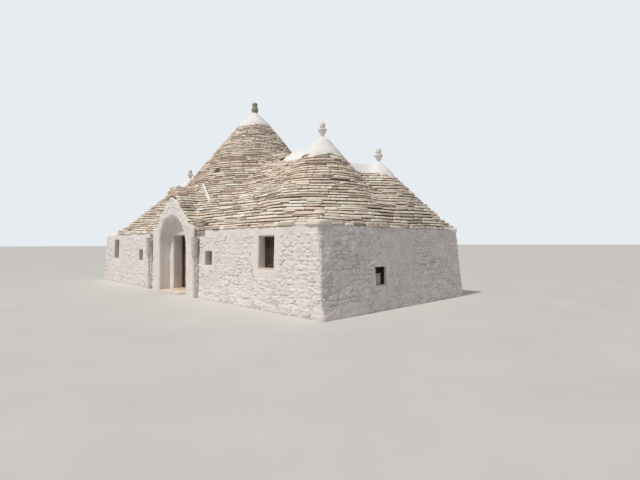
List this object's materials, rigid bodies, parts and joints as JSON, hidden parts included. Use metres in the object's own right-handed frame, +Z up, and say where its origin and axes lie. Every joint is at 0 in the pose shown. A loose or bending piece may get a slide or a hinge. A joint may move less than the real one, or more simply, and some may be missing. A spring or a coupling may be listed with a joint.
{
  "type": "trullo house",
  "caption": "Long whitewashed stone house with an arched gable porch in the middle of the front and four dry-stone cone roofs with round pinnacles",
  "frame": {"origin": "On the ground, under the middle of the wall plan at the foot of the walls", "axes": "+Z up, +X along the front to the right as seen from outside, the front faces -Y"},
  "size_m": [14.84, 6.315, 7.3068],
  "materials": {
    "whitewash": "limewashed rubble",
    "cream_stone": "rough limestone",
    "roof_slabs": "dry limestone slabs",
    "clay_stone": "worn",
    "dark_wood": "dark stained",
    "black_iron": "blackened",
    "glass": "clear",
    "meter_casing": "matt",
    "pipe": "weathered"
  },
  "bodies": {
    "building": {"floor_slab": "cream_stone", "front_wall_right": "whitewash", "front_wall_left": "whitewash", "right_wall": "whitewash", "left_wall": "whitewash", "back_wall": "whitewash", "portal_pier_right": "whitewash", "portal_pier_left": "whitewash", "portal_head": "whitewash", "gable_coping": "cream_stone", "threshold": "clay_stone", "roof_tall_cone": "roof_slabs", "roof_front_cone": "roof_slabs", "roof_back_cone": "roof_slabs", "roof_left_cone": "roof_slabs", "cap_tall_cone": "whitewash", "cap_front_cone": "whitewash", "cap_back_cone": "whitewash", "cap_left_cone": "whitewash", "pinnacle_tall": "roof_slabs", "pinnacle_front": "whitewash", "pinnacle_back": "whitewash", "pinnacle_left": "whitewash", "door_frame": "dark_wood", "door_pintles": "black_iron", "window_frame_right": "dark_wood", "window_frame_left": "dark_wood", "window_glass_right": "glass", "window_glass_left": "glass", "window_sills": "cream_stone", "small_window_frames": "dark_wood", "small_window_glass": "glass", "meter_cabinet": "meter_casing", "shoulder_stones": "cream_stone", "rain_pipes": "pipe", "pipe_clips": "pipe", "wall_kerb": "whitewash"},
    "door": {"door_leaf": "dark_wood", "door_straps": "black_iron", "door_pull": "black_iron"}
  },
  "joints": [
    {"name": "door_hinge", "type": "hinge", "parent": "building", "child": "door", "pos_m": [-0.517, -2.35, 1], "axis": [0, 0, 1], "range_deg": [0, 90]}
  ]
}
